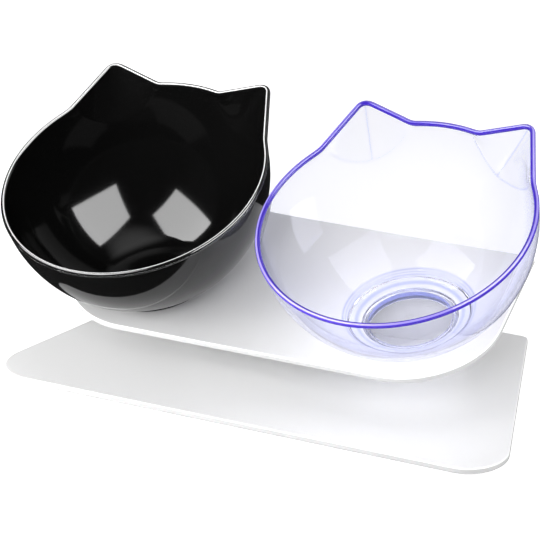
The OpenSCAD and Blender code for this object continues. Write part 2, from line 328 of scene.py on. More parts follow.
def cornerArc(corner, before, after, radius, inset, steps):
    # the arc's centre stays, so that an inset outline keeps the same number of points
    toBefore = (Vector(before) - Vector(corner)).normalized()
    toAfter = (Vector(after) - Vector(corner)).normalized()
    half = toBefore.angle(toAfter) / 2
    middle = Vector(corner) + (toBefore + toAfter).normalized() * radius / math.sin(half)
    # the arc starts square to the side before the corner
    normal = Vector((toBefore.y, -toBefore.x))
    if normal.dot(middle - Vector(corner)) > 0:
        normal = -normal
    start = math.degrees(math.atan2(normal.y, normal.x))
    sweep = 180 - math.degrees(2 * half)
    return arcPoints(middle, radius - inset, start, start + sweep, steps)


def roundedSheet(mesh, outline, low, high, edge, steps=4):
    # mesh is a bmesh, and outline(inset) gives the points anticlockwise from above
    # material 0 is on both faces, 1 on the upper arris, 2 on the side and the lower arris
    levels = []
    for k in range(steps + 1):
        turn = math.radians(90 * k / steps)
        levels.append((edge * (1 - math.sin(turn)), low + edge * (1 - math.cos(turn))))
    for k in range(steps + 1):
        turn = math.radians(90 * k / steps)
        levels.append((edge * (1 - math.cos(turn)), high - edge * (1 - math.sin(turn))))
    rings = [[mesh.verts.new((x, y, z)) for x, y in outline(inset)] for inset, z in levels]
    count = len(rings[0])
    for level, (lower, upper) in enumerate(zip(rings, rings[1:])):
        for i in range(count):
            j = (i + 1) % count
            face = mesh.faces.new((lower[i], lower[j], upper[j], upper[i]))
            face.smooth = True
            face.material_index = 1 if level > steps else 2
    for ring in (rings[0][::-1], rings[-1]):
        mesh.faces.new(ring).smooth = True


def drum(centre, radius, low, high, steps=96):
    mesh = bmesh.new()
    rings = [[mesh.verts.new((x, y, z)) for x, y in arcPoints(centre, radius, 0, 360, steps)[:-1]]
             for z in (low, high)]
    for i in range(steps):
        j = (i + 1) % steps
        mesh.faces.new((rings[0][i], rings[0][j], rings[1][j], rings[1][i])).smooth = True
    mesh.faces.new(rings[0][::-1])
    mesh.faces.new(rings[1])
    return mesh


def block(lowCorner, highCorner):
    mesh = bmesh.new()
    bmesh.ops.create_cube(mesh, size=1)
    middle = (Vector(lowCorner) + Vector(highCorner)) / 2
    size = Vector(highCorner) - Vector(lowCorner)
    placed = Matrix.Translation(middle) @ Matrix.Diagonal((*size, 1))
    bmesh.ops.transform(mesh, matrix=placed, verts=mesh.verts)
    return mesh


def meshFrom(shape, name, matrix=None):
    if matrix is not None:
        bmesh.ops.transform(shape, matrix=matrix, verts=shape.verts)
    bmesh.ops.recalc_face_normals(shape, faces=shape.faces)
    mesh = bpy.data.meshes.new(name)
    shape.to_mesh(mesh)
    shape.free()
    return mesh


def cutWith(thing, *cutters):
    for cutter in cutters:
        tool = linkMesh("cutter", meshFrom(cutter, "cutter"), sheetSide)
        cut = thing.modifiers.new("cut", "BOOLEAN")
        cut.operation, cut.solver, cut.object = "DIFFERENCE", "EXACT", tool
        applyModifiers(thing)
        bpy.data.objects.remove(tool)


def evenNormals(thing):
    weighted = thing.modifiers.new("evenNormals", "WEIGHTED_NORMAL")
    weighted.keep_sharp = True
    weighted.weight = 100
    thing.data.set_sharp_from_angle(angle=math.radians(50))
    applyModifiers(thing)


# base plate

basePlate = {
    "frontWidth": 275 * mm,
    "rearWidth": 186 * mm,
    "depth": 140.3 * mm,
    "thickness": 3 * mm,
    "frontRadius": 19 * mm,
    "rearRadius": 4 * mm,
    "edge": 0.55 * mm,
    "cornerSteps": 28,
}

leg = {
    "width": 152 * mm,
    "thickness": 4 * mm,
    "fromFront": 99 * mm,
    "cornerRadius": 8 * mm,
    "tabWidth": 36 * mm,
    "tabPitch": 92 * mm,
    "tabGap": 0.2 * mm,
    "edge": 0.5 * mm,
    "cornerSteps": 12,
}


def baseOutline(inset):
    b = basePlate
    corners = [(-b["frontWidth"] / 2, 0), (b["frontWidth"] / 2, 0),
               (b["rearWidth"] / 2, b["depth"]), (-b["rearWidth"] / 2, b["depth"])]
    radii = [b["frontRadius"], b["frontRadius"], b["rearRadius"], b["rearRadius"]]
    points = []
    for i, radius in enumerate(radii):
        after = corners[(i + 1) % 4]
        points += cornerArc(corners[i], corners[i - 1], after, radius, inset, b["cornerSteps"])
    return points


def makeBasePlate():
    b = basePlate
    shape = bmesh.new()
    roundedSheet(shape, baseOutline, 0, b["thickness"], b["edge"])
    sheets = (baseSheet, paintedArrisHighlight, sheetSide)
    thing = linkMesh("basePlateSheet", meshFrom(shape, "basePlateSheet"), *sheets)
    slots = []
    for side in (-1, 1):
        x = side * leg["tabPitch"] / 2
        halfWidth = leg["tabWidth"] / 2 + leg["tabGap"]
        halfDepth = leg["thickness"] / 2 + leg["tabGap"]
        slots.append(block((x - halfWidth, leg["fromFront"] - halfDepth, -b["thickness"]),
                           (x + halfWidth, leg["fromFront"] + halfDepth, 2 * b["thickness"])))
    cutWith(thing, *slots)
    thing.data.transform(onFloor)
    evenNormals(thing)
    finishPiece(thing, "stand", "white_stand", "base_plate")


makeBasePlate()
print("base plate made")


# tilted platform and its leg

platform = {
    "cornerX": 67.6 * mm,
    "cornerBack": 2.8 * mm,
    "cornerRadius": 43 * mm,
    "rear": 58.7 * mm,
    "rearHalf": 106.9 * mm,
    "rearRadius": 1.5 * mm,
    "thickness": 3 * mm,
    "edge": 0.6 * mm,
    "holeRadius": 23 * mm,
    "roundSteps": 48,
    "rearSteps": 8,
}


def platformOutline(inset):
    p = platform
    run = Vector((p["rearHalf"] - p["cornerX"], p["rear"] - p["cornerBack"]))
    side = math.degrees(math.atan2(run.y, run.x) - math.acos(p["cornerRadius"] / run.length))
    a = math.radians(side)
    middle = Vector((p["cornerX"], p["cornerBack"]))
    sidePoint = middle + p["cornerRadius"] * Vector((math.cos(a), math.sin(a)))
    rearCorner, after = (p["rearHalf"], p["rear"]), (-p["rearHalf"], p["rear"])
    right = arcPoints(middle, p["cornerRadius"] - inset, -90, side, p["roundSteps"])
    right += cornerArc(rearCorner, sidePoint, after, p["rearRadius"], inset, p["rearSteps"])
    return right + [(-x, y) for x, y in right[::-1]]


def legOutline(inset):
    g = leg
    rise = (g["fromFront"] - stand["seatY"]) * math.tan(math.radians(stand["tilt"]))
    top = stand["seatZ"] + rise - platform["thickness"] / 2 - g["thickness"] / 2
    low = basePlate["thickness"]
    half = g["width"] / 2
    corners = [(-half, low), (half, low), (half, top), (-half, top)]
    radii = [g["cornerRadius"], g["cornerRadius"], g["edge"], g["edge"]]
    points = []
    for i, radius in enumerate(radii):
        after = corners[(i + 1) % 4]
        points += cornerArc(corners[i], corners[i - 1], after, radius, inset, g["cornerSteps"])
    return points


def makePlatform():
    p, g = platform, leg
    top = bmesh.new()
    roundedSheet(top, platformOutline, -p["thickness"], 0, p["edge"])
    sheets = (platformSheet, paintedArrisHighlight, sheetSide)
    thing = linkMesh("platformSheet", meshFrom(top, "platformSheet"), *sheets)
    cutWith(thing, *[drum((side * p["cornerX"], 0), p["holeRadius"], -3 * p["thickness"], p["thickness"])
                     for side in (-1, 1)])
    thing.data.transform(onPlatform)
    upright = bmesh.new()
    roundedSheet(upright, legOutline, -g["thickness"] / 2, g["thickness"] / 2, g["edge"])
    stood = Matrix.Translation((0, g["fromFront"], 0)) @ rotX(90)
    parts = [thing, linkMesh("legSheet", meshFrom(upright, "legSheet", onFloor @ stood), *sheets)]
    for side in (-1, 1):
        x = side * g["tabPitch"] / 2
        tab = block((x - g["tabWidth"] / 2, g["fromFront"] - g["thickness"] / 2 + g["tabGap"], g["tabGap"]),
                    (x + g["tabWidth"] / 2, g["fromFront"] + g["thickness"] / 2 - g["tabGap"],
                     basePlate["thickness"] + g["cornerRadius"]))
        parts.append(linkMesh("tab", meshFrom(tab, "tab", onFloor), *sheets))
    for part in parts:
        evenNormals(part)
    with bpy.context.temp_override(active_object=thing, selected_editable_objects=parts):
        bpy.ops.object.join()
    finishPiece(thing, "stand", "white_stand", "tilted_platform")


makePlatform()
print("platform and leg made")


# bowls

bowl = {
    "radius": 64.7 * mm,
    "wall": 2 * mm,
    "ballHeight": 60.4 * mm,
    "rimDrop": 1.7 * mm,
    "rimTilt": 7.6,
    "beadRadius": 1.25 * mm,
    "beadSides": 24,
    "earSideAngle": 33,
    "earBackAngle": 75,
    "earTipAngle": 57.3,
    "earTipReach": 78.7 * mm,
    "earTipRise": 5.8 * mm,
    "creaseReach": 62.4 * mm,
    "creaseAngle": 59,
    "creaseDrop": 16 * mm,
    "tipRound": 5.4 * mm,
    "baseRound": 0.7 * mm,
    "earReachAngle": 9,
    "earColumns": 110,
    "frontColumns": 116,
    "backColumns": 14,
    "wallRows": 90,
    "rowCrowding": 1.35,
    "mouthRound": 0.5 * mm,
    "petals": {
        "right": {"middle": 63, "front": 25, "back": 14.5, "drop": 15.5 * mm, "lean": 8},
        "left": {"middle": 56.5, "front": 18.5, "back": 15.5, "drop": 12.8 * mm, "lean": -1.5},
    },
    "petalLip": 2.9 * mm,
    "petalCurve": 0.72,
    # painted shade: the width of the painted fold lines, and how dark the folds and facets are painted
    "foldLine": 0.55 * mm,
    "paintedFoldShade": 0.6,
    "paintedFacetShade": 0.13,
}

# half sections in millimetres: distance from the axis, height above the platform's top
foot = {
    "ballEnd": 3.7,
    "bend": (29.5, 2.82),
    "bendSteps": 8,
    "section": [(29.5, 2.0), (29.5, 0.9), (29.4, 0.45), (29.1, 0.15), (28.5, 0.03), (24.0, 0.03),
                (23.2, 0.0), (22.75, -0.2), (22.6, -0.7), (22.6, -3.9), (22.45, -4.3), (22.0, -4.5),
                (21.2, -4.5), (20.75, -4.3), (20.6, -3.9), (20.6, -0.5), (20.4, -0.1), (19.9, 0.0),
                (10.0, 0.0)],
    # painted shade: the locating ring, below ringTop, is darkened towards blue
    "ringTop": -0.4,
    "paintedRingShade": 0.8,
}
floors = {
    "black_bowl": {
        "wallEnd": 3.1,
        "bendSteps": 24,
        "bends": [((19.5, 0.7), (4.0, 0.7))],
        "middle": [(2.0, 0.7), (1.0, 0.7)],
    },
    "clear_bowl": {
        "wallEnd": 6.4,
        "bendSteps": 6,
        "bends": [((31.4, 6.0), (30.4, 5.35)), ((30.0, 5.1), (29.6, 4.9)), ((29.2, 4.2), (28.4, 3.9)),
                  ((25.2, 2.0), (23.6, 2.0))],
        "middle": [(8.0, 2.0), (3.1, 2.0), (2.8, 2.12), (2.3, 2.14), (2.0, 2.02), (1.0, 2.0)],
    },
}
# how deep the painted shade is, and the rows of each bend that carry a painted dark line
paintedWellShade = {"line": 1, "lineRows": (2, 3), "step": 0.35, "floor": 0.08, "floorTop": 2.05}


def rimPoint(reach, degrees, rise):
    a = math.radians(degrees)
    return np.array([reach * math.cos(a), reach * math.sin(a), rise - bowl["rimDrop"]])


def unitOf(v):
    return v / np.linalg.norm(v)


def smoothMin(a, b, k):
    h = np.maximum(k - np.abs(a - b), 0) / k
    return np.minimum(a, b) - h * h * k / 4


def smoothMax(a, b, k):
    return -smoothMin(-a, -b, k)


def earFaces():
    # both sides of an ear's outline and the plane of its mouth, drawn on the right
    b = bowl
    rimReach = math.sqrt((b["radius"] - b["wall"] / 2) ** 2 - b["rimDrop"] ** 2)
    side = rimPoint(rimReach, b["earSideAngle"], 0)
    back = rimPoint(rimReach, b["earBackAngle"], 0)
    tip = rimPoint(b["earTipReach"], b["earTipAngle"], b["earTipRise"])
    root = rimPoint(b["creaseReach"], b["creaseAngle"], -b["creaseDrop"])
    faces = []
    for base in (side, back):
        normal = unitOf(np.cross(tip - base, root - base))
        if normal @ base < 0:
            normal = -normal
        faces.append((normal, normal @ tip))
    mouth = unitOf(np.cross(back - tip, side - tip))
    if mouth[2] < 0:
        mouth = -mouth
    return faces, (mouth, mouth @ tip)


outlineFaces, earMouth = earFaces()


def earReach(rays):
    # how far the ear's outline lies from the ball's middle along each ray, or far off where it faces away
    far, least = 10, 0.05
    folded = rays.copy()
    folded[..., 0] = np.abs(folded[..., 0])
    reaches = []
    for normal, distance in outlineFaces:
        facing = folded @ normal
        reaches.append(np.where(facing > least, distance / np.maximum(facing, least), far))
    return smoothMin(reaches[0], reaches[1], bowl["tipRound"])


def columnAngles():
    b = bowl
    first = b["earSideAngle"] - b["earReachAngle"]
    last = b["earBackAngle"] + b["earReachAngle"]
    ear = np.linspace(first, last, b["earColumns"], endpoint=False)
    backRun = np.linspace(last, 180 - last, b["backColumns"], endpoint=False)
    otherEar = 180 - np.linspace(last, first, b["earColumns"], endpoint=False)
    frontRun = np.linspace(180 - first, 360 + first, b["frontColumns"], endpoint=False)
    isEar = [True] * b["earColumns"] + [False] * b["backColumns"] + [True] * b["earColumns"]
    isEar += [False] * b["frontColumns"]
    return np.radians(np.concatenate([ear, backRun, otherEar, frontRun])), np.array(isEar)


columns, earColumn = columnAngles()


def raysAt(angles, heights):
    level = np.cos(heights)
    return np.stack([level * np.cos(angles), level * np.sin(angles), np.sin(heights)], -1)


def mouthHeights():
    # the elevation of the rim's middle line in each column, seen from the ball's middle, by halving
    b = bowl
    ballMid = b["radius"] - b["wall"] / 2
    lowest, highest, halvings = -0.4, 0.6, 40
    low = np.full(columns.shape, lowest)
    high = np.full(columns.shape, highest)
    for _ in range(halvings):
        middle = (low + high) / 2
        rays = raysAt(columns, middle)
        reach = np.full(columns.shape, ballMid)
        ears = smoothMax(np.full(columns.shape, ballMid), earReach(rays), b["baseRound"])
        reach = np.where(earColumn, ears, reach)
        points = rays * reach[:, None]
        folded = points.copy()
        folded[:, 0] = np.abs(folded[:, 0])
        aboveRim = points[:, 2] + b["rimDrop"]
        aboveMouth = folded @ earMouth[0] - earMouth[1]
        over = np.where(earColumn, smoothMin(aboveRim, aboveMouth, b["mouthRound"]), aboveRim)
        high = np.where(over > 0, middle, high)
        low = np.where(over > 0, low, middle)
    rays = raysAt(columns, low)
    ears = smoothMax(np.full(columns.shape, ballMid), earReach(rays), b["baseRound"])
    reach = np.where(earColumn, ears, ballMid)
    return low, rays * reach[:, None]


mouthTurn, mouthLine = mouthHeights()


def foldEars(rays, lift, reach, tint):
    # each ear leaves the ball along a petal's edge and runs straight from there to its part of the mouth
    b = bowl
    ball = b["radius"] - b["wall"] / 2 + lift
    mouthReach = np.linalg.norm(mouthLine, axis=1)
    turn = np.arcsin(rays[..., 2])
    around = np.degrees(columns)
    for side, petal in b["petals"].items():
        folded = around if side == "right" else 180 - around
        mine = earColumn & (folded > 0) & (folded < 90)
        order = np.argsort(folded[mine])
        angles, reaches = folded[mine][order], mouthReach[mine][order]
        fromMiddle = folded - petal["middle"]
        share = fromMiddle / np.where(fromMiddle < 0, petal["front"], petal["back"])
        bulge = np.clip(1 - share ** 2, 0, 1) ** b["petalCurve"]
        drop = b["rimDrop"] + b["petalLip"] + petal["drop"] * bulge
        edge = -np.arcsin(drop / ball)
        up = (turn - edge) / (mouthTurn - edge)
        leaned = folded - petal["lean"] * (1 - np.clip(up, 0, 1))
        mouth = np.interp(leaned, angles, reaches) + lift
        straight = np.sin(turn - edge) / mouth + np.sin(mouthTurn - turn) / ball
        inEar = mine & (up > 0)
        reach[:] = np.where(inEar, np.sin(mouthTurn - edge) / np.where(inEar, straight, 1), reach)
        # painted shade: the tint deepens over the ear's facets and along its crease and petal edges
        fromCrease = np.radians(leaned - b["earTipAngle"]) * ball
        crease = np.exp(-(fromCrease / b["foldLine"]) ** 2) * inEar
        petalEdge = np.exp(-((turn - edge) * ball / b["foldLine"]) ** 2) * mine * (np.abs(share) < 1)
        tint += b["paintedFacetShade"] * inEar + b["paintedFoldShade"] * np.maximum(crease, petalEdge)


def wallRows(lift, footHeight):
    # rows of points from the mouth down to the foot, in the ball's frame
    b = bowl
    ball = b["radius"] - b["wall"] / 2 + lift
    down = b["ballHeight"] - footHeight
    across = math.sqrt(ball ** 2 - down ** 2)
    toFoot = np.array(rotX(-b["rimTilt"]).to_3x3())
    footRing = [across * np.cos(columns), across * np.sin(columns), np.full(columns.shape, -down)]
    footRays = np.stack(footRing, -1) @ toFoot.T / ball
    top = raysAt(columns, mouthTurn)
    turn = np.arccos(np.clip(np.sum(top * footRays, -1), -1, 1))[:, None]
    share = np.linspace(0, 1, b["wallRows"] + 1) ** b["rowCrowding"]
    share = share[:, None, None]
    rays = (np.sin((1 - share) * turn) * top + np.sin(share * turn) * footRays) / np.sin(turn)
    reach = np.full(rays.shape[:2], ball)
    # the tint gathers the painted shade of the ears' folds and facets
    tint = np.zeros(rays.shape[:2])
    foldEars(rays, lift, reach, tint)
    return rays * reach[..., None], tint


def sectionRows(section):
    across, along = np.cos(columns), np.sin(columns)
    return [np.stack([r * mm * across, r * mm * along, np.full(columns.shape, z * mm)], -1)
            for r, z in section]


def softBend(start, corner, stop, steps):
    share = np.linspace(0, 1, steps + 1)[1:-1]
    return [((1 - t) ** 2 * start[0] + 2 * t * (1 - t) * corner[0] + t * t * stop[0],
             (1 - t) ** 2 * start[1] + 2 * t * (1 - t) * corner[1] + t * t * stop[1]) for t in share]


def bowlRows(node):
    b, floor = bowl, floors[node]
    footFrame = np.array(Matrix.Translation((0, 0, b["ballHeight"])) @ rotX(b["rimTilt"]))

    def inFoot(points):
        return points @ footFrame[:3, :3].T + footFrame[:3, 3]

    def ballAt(radius, height):
        return math.sqrt(radius ** 2 - (b["ballHeight"] / mm - height) ** 2), height

    outer, _ = wallRows(b["wall"] / 2, foot["ballEnd"] * mm)
    inner, paintedFoldShade = wallRows(-b["wall"] / 2, floor["wallEnd"] * mm)
    start = ballAt(b["radius"] / mm, foot["ballEnd"])
    bend = softBend(start, foot["bend"], foot["section"][0], foot["bendSteps"])
    outside = (bend + foot["section"])[::-1]
    inside, last = [], ballAt((b["radius"] - b["wall"]) / mm, floor["wallEnd"])
    for corner, stop in floor["bends"]:
        inside += softBend(last, corner, stop, floor["bendSteps"]) + [stop]
        last = stop
    rows = sectionRows(outside)
    rows += list(inFoot(outer[::-1]))
    rows += list(inFoot(inner))
    rows += sectionRows(inside + floor["middle"])
    # painted shade: the locating ring and the well's steps carry a deeper blue tint, with darker painted
    # lines at the bends, and the well's floor a little of it
    w = paintedWellShade
    even = np.zeros(len(columns))
    paintedShades = [even + (foot["paintedRingShade"] if z < foot["ringTop"] else 0) for _, z in outside]
    paintedShades += [even] * len(outer) + list(paintedFoldShade)
    for i, (_, z) in enumerate(inside):
        step = w["line"] if i % floor["bendSteps"] in w["lineRows"] else w["step"]
        paintedShades.append(even + (step if z > w["floorTop"] else w["floor"]))
    paintedShades += [even + w["floor"]] * len(floor["middle"])
    return rows, np.concatenate(paintedShades)


def makeBowlMesh(node, name, matrix):
    rows, paintedShades = bowlRows(node)
    count = len(columns)
    points = np.concatenate(rows)
    under, floor = (0, 0, 0), (0, 0, floors[node]["middle"][-1][1] * mm)
    mesh = bmesh.new()
    verts = [mesh.verts.new(p) for p in points]
    for r in range(len(rows) - 1):
        a, b = r * count, (r + 1) * count
        for i in range(count):
            j = (i + 1) % count
            mesh.faces.new((verts[a + i], verts[a + j], verts[b + j], verts[b + i])).smooth = True
    lowPole, highPole = mesh.verts.new(under), mesh.verts.new(floor)
    last = (len(rows) - 1) * count
    for i in range(count):
        j = (i + 1) % count
        mesh.faces.new((lowPole, verts[j], verts[i])).smooth = True
        mesh.faces.new((highPole, verts[last + i], verts[last + j])).smooth = True
    made = meshFrom(mesh, name, matrix)
    # painted shade per point, read by the clear plastic's colour
    depth = made.attributes.new("paintedShadeDepth", "FLOAT", "POINT")
    depth.data.foreach_set("value", [*paintedShades, 0, paintedShades[-1]])
    return made


# the bead: a bar that follows the mouth line

def beadTree():
    tree = bpy.data.node_groups.new("beadAlongRim", "GeometryNodeTree")
    face = tree.interface
    face.new_socket("Geometry", in_out="INPUT", socket_type="NodeSocketGeometry")
    radiusIn = face.new_socket("Bar Radius", in_out="INPUT", socket_type="NodeSocketFloat")
    sidesIn = face.new_socket("Sides", in_out="INPUT", socket_type="NodeSocketInt")
    materialIn = face.new_socket("Material", in_out="INPUT", socket_type="NodeSocketMaterial")
    face.new_socket("Geometry", in_out="OUTPUT", socket_type="NodeSocketGeometry")
    given, made = addNode(tree, "NodeGroupInput"), addNode(tree, "NodeGroupOutput")
    path = addNode(tree, "GeometryNodeMeshToCurve")
    upright = addNode(tree, "GeometryNodeSetCurveNormal")
    upright.mode = "Z_UP"
    circle = addNode(tree, "GeometryNodeCurvePrimitiveCircle")
    parameter = addNode(tree, "GeometryNodeSplineParameter")
    capture = addNode(tree, "GeometryNodeCaptureAttribute")
    capture.capture_items.new("FLOAT", "Around")
    sweep = addNode(tree, "GeometryNodeCurveToMesh")
    store = addNode(tree, "GeometryNodeStoreNamedAttribute", data_type="FLOAT", domain="POINT")
    store.inputs["Name"].default_value = "aroundBar"
    smooth = addNode(tree, "GeometryNodeSetShadeSmooth")
    realize = addNode(tree, "GeometryNodeRealizeInstances")
    paint = addNode(tree, "GeometryNodeSetMaterial")
    link = tree.links.new
    link(given.outputs["Geometry"], path.inputs["Mesh"])
    link(path.outputs["Curve"], upright.inputs["Curve"])
    link(given.outputs["Bar Radius"], circle.inputs["Radius"])
    link(given.outputs["Sides"], circle.inputs["Resolution"])
    link(circle.outputs["Curve"], capture.inputs["Geometry"])
    link(parameter.outputs["Factor"], capture.inputs["Around"])
    link(upright.outputs["Curve"], sweep.inputs["Curve"])
    link(capture.outputs["Geometry"], sweep.inputs["Profile Curve"])
    link(sweep.outputs["Mesh"], store.inputs["Geometry"])
    link(capture.outputs["Around"], store.inputs["Value"])
    link(store.outputs["Geometry"], smooth.inputs["Geometry"])
    link(smooth.outputs["Geometry"], realize.inputs["Geometry"])
    link(realize.outputs["Geometry"], paint.inputs["Geometry"])
    link(given.outputs["Material"], paint.inputs["Material"])
    link(paint.outputs["Geometry"], made.inputs["Geometry"])
    return tree, radiusIn.identifier, sidesIn.identifier, materialIn.identifier


beadNodes, radiusSocket, sidesSocket, materialSocket = beadTree()


def makeBead(name, matrix, material):
    mesh = bpy.data.meshes.new(name)
    count = len(mouthLine)
    mesh.from_pydata([tuple(p) for p in mouthLine], [(i, (i + 1) % count) for i in range(count)], [])
    thing = linkMesh(name, mesh)
    modifier = thing.modifiers.new("bead", "NODES")
    modifier.node_group = beadNodes
    modifier[radiusSocket] = bowl["beadRadius"]
    modifier[sidesSocket] = bowl["beadSides"]
    modifier[materialSocket] = material
    applyModifiers(thing)
    thing.data.transform(matrix)
    return thing


def makeBowl(node, body, name, material):
    # returns the ball's frame, which the bead is drawn in
    lo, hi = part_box(node)
    x = (lo.x + hi.x) / 2
    place = onFloor @ Matrix.Translation((x, stand["seatY"], stand["seatZ"])) @ rotX(stand["tilt"])
    thing = linkMesh(name, makeBowlMesh(node, name, place), material)
    finishPiece(thing, body, node, node)
    return place @ Matrix.Translation((0, 0, bowl["ballHeight"])) @ rotX(bowl["rimTilt"])


blackBall = makeBowl("black_bowl", "black_bowl_body", "blackBowlShell", blackGloss)
blackBeadBar = makeBead("blackBowlBead", blackBall, blackBead)
finishPiece(blackBeadBar, "black_bowl_body", "black_bowl")
clearBall = makeBowl("clear_bowl", "clear_bowl_body", "clearBowlShell", clearPlastic)
clearBead = makeBead("clearBowlBead", clearBall, violetBead)
finishPiece(clearBead, "clear_bowl_body", "violet_rim", "clear_bowl_rim")
print("bowls made")


# grip pads: a disc with pips on its underside

gripPad = {
    "edge": 0.4 * mm,
    "steps": 64,
    "pipPitch": 2.2 * mm,
    "pipRadius": 0.6 * mm,
    "pipDepth": 0.22 * mm,
    "pipSegments": 12,
    "pipRings": 6,
}


def padTree():
    tree = bpy.data.node_groups.new("gripPips", "GeometryNodeTree")
    face = tree.interface
    face.new_socket("Geometry", in_out="INPUT", socket_type="NodeSocketGeometry")
    pipIn = face.new_socket("Pip", in_out="INPUT", socket_type="NodeSocketFloat")
    flatIn = face.new_socket("Flatness", in_out="INPUT", socket_type="NodeSocketFloat")
    materialIn = face.new_socket("Material", in_out="INPUT", socket_type="NodeSocketMaterial")
    face.new_socket("Geometry", in_out="OUTPUT", socket_type="NodeSocketGeometry")
    given, made = addNode(tree, "NodeGroupInput"), addNode(tree, "NodeGroupOutput")
    ball = addNode(tree, "GeometryNodeMeshUVSphere")
    ball.inputs["Segments"].default_value = gripPad["pipSegments"]
    ball.inputs["Rings"].default_value = gripPad["pipRings"]
    flatten = addNode(tree, "ShaderNodeCombineXYZ")
    flatten.inputs[0].default_value = 1
    flatten.inputs[1].default_value = 1
    place = addNode(tree, "GeometryNodeInstanceOnPoints")
    smooth = addNode(tree, "GeometryNodeSetShadeSmooth")
    realize = addNode(tree, "GeometryNodeRealizeInstances")
    paint = addNode(tree, "GeometryNodeSetMaterial")
    link = tree.links.new
    link(given.outputs["Pip"], ball.inputs["Radius"])
    link(given.outputs["Flatness"], flatten.inputs[2])
    link(given.outputs["Geometry"], place.inputs["Points"])
    link(ball.outputs["Mesh"], place.inputs["Instance"])
    link(flatten.outputs[0], place.inputs["Scale"])
    link(place.outputs["Instances"], realize.inputs["Geometry"])
    link(realize.outputs["Geometry"], smooth.inputs["Geometry"])
    link(smooth.outputs["Geometry"], paint.inputs["Geometry"])
    link(given.outputs["Material"], paint.inputs["Material"])
    link(paint.outputs["Geometry"], made.inputs["Geometry"])
    return tree, pipIn.identifier, flatIn.identifier, materialIn.identifier


pipNodes, pipSocket, flatSocket, pipMaterialSocket = padTree()


def makePad(node):
    g = gripPad
    lo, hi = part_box(node)
    centre = (lo + hi) / 2
    radius = (hi.x - lo.x) / 2

    def discOutline(inset):
        return arcPoints((centre.x, centre.y), radius - inset, 0, 360, g["steps"])[:-1]

    shape = bmesh.new()
    roundedSheet(shape, discOutline, lo.z + g["pipDepth"], hi.z, g["edge"])
    disc = linkMesh(node + ".disc", meshFrom(shape, node), gripRubber, gripRubber, gripRubber)
    reach = int(radius / g["pipPitch"])
    spots = []
    for i in range(-reach, reach + 1):
        for j in range(-reach, reach + 1):
            x, y = (i + j / 2) * g["pipPitch"], j * g["pipPitch"] * math.sqrt(3) / 2
            if math.hypot(x, y) < radius - g["edge"] - g["pipRadius"]:
                spots.append((centre.x + x, centre.y + y, lo.z + g["pipDepth"]))
    mesh = bpy.data.meshes.new(node + ".pips")
    mesh.from_pydata(spots, [], [])
    pips = linkMesh(node + ".pips", mesh)
    modifier = pips.modifiers.new("pips", "NODES")
    modifier.node_group = pipNodes
    modifier[pipSocket] = g["pipRadius"]
    modifier[flatSocket] = g["pipDepth"] / g["pipRadius"]
    modifier[pipMaterialSocket] = gripRubber
    applyModifiers(pips)
    evenNormals(disc)
    with bpy.context.temp_override(active_object=disc, selected_editable_objects=[disc, pips]):
        bpy.ops.object.join()
    finishPiece(disc, "stand", "grip_pad", node)


for padNode in ("pad_front_left", "pad_front_right", "pad_rear_left", "pad_rear_right"):
    makePad(padNode)
print("grip pads made")


# studio: metres and watts

studio = {
    "floorSize": 12,
    "floorDrop": 0.0002,
    "floorGlow": 0.6,
    "floorGlowBehindClear": 0.36,
    "domeRadius": 8,
    "domeLevel": 0.02,
    "glowFrom": 0.91,
    "cardDistance": 1.6,
    "cardDimming": 4,
    "lampTarget": (0, 0, 0.05),
    "worldLight": 0.4,
    "overhead": {"place": (0, 0, 1.5), "size": 0.8, "power": 1.0},
    "front": {"place": (0.75, -1.8, 1.05), "size": 1.1, "power": 25.5},
    "leftFill": {"place": (-0.32, -0.3, 0.13), "size": 0.2, "power": 1.9},
    "rightFill": {"place": (0.42, 0.14, 0.12), "size": 0.2, "power": 0.7},
}


def makeFloor():
    # white to the camera, and softer where it is seen through clear plastic
    material, tree, output = bareMaterial("studioFloor")
    matt = addNode(tree, "ShaderNodeBsdfDiffuse")
    matt.inputs["Color"].default_value = (0.92, 0.92, 0.92, 1)
    glow = addNode(tree, "ShaderNodeEmission")
    path = addNode(tree, "ShaderNodeLightPath")
    behindClear = addNode(tree, "ShaderNodeMath", operation="MULTIPLY")
    behindClear.inputs[1].default_value = studio["floorGlowBehindClear"]
    level = addNode(tree, "ShaderNodeMath", operation="MULTIPLY_ADD")
    level.inputs[1].default_value = studio["floorGlow"]
    both = addNode(tree, "ShaderNodeAddShader")
    tree.links.new(path.outputs["Is Transmission Ray"], behindClear.inputs[0])
    tree.links.new(path.outputs["Is Camera Ray"], level.inputs[0])
    tree.links.new(behindClear.outputs[0], level.inputs[2])
    tree.links.new(level.outputs[0], glow.inputs["Strength"])
    tree.links.new(matt.outputs[0], both.inputs[0])
    tree.links.new(glow.outputs[0], both.inputs[1])
    tree.links.new(both.outputs[0], output.inputs["Surface"])
    mesh = bpy.data.meshes.new("studioFloor")
    s = studio["floorSize"] / 2
    mesh.from_pydata([(-s, -s, 0), (s, -s, 0), (s, s, 0), (-s, s, 0)], [], [(0, 1, 2, 3)])
    floor = linkMesh("studioFloor", mesh, material)
    floor.location.z = -studio["floorDrop"]
    floor.visible_glossy = False


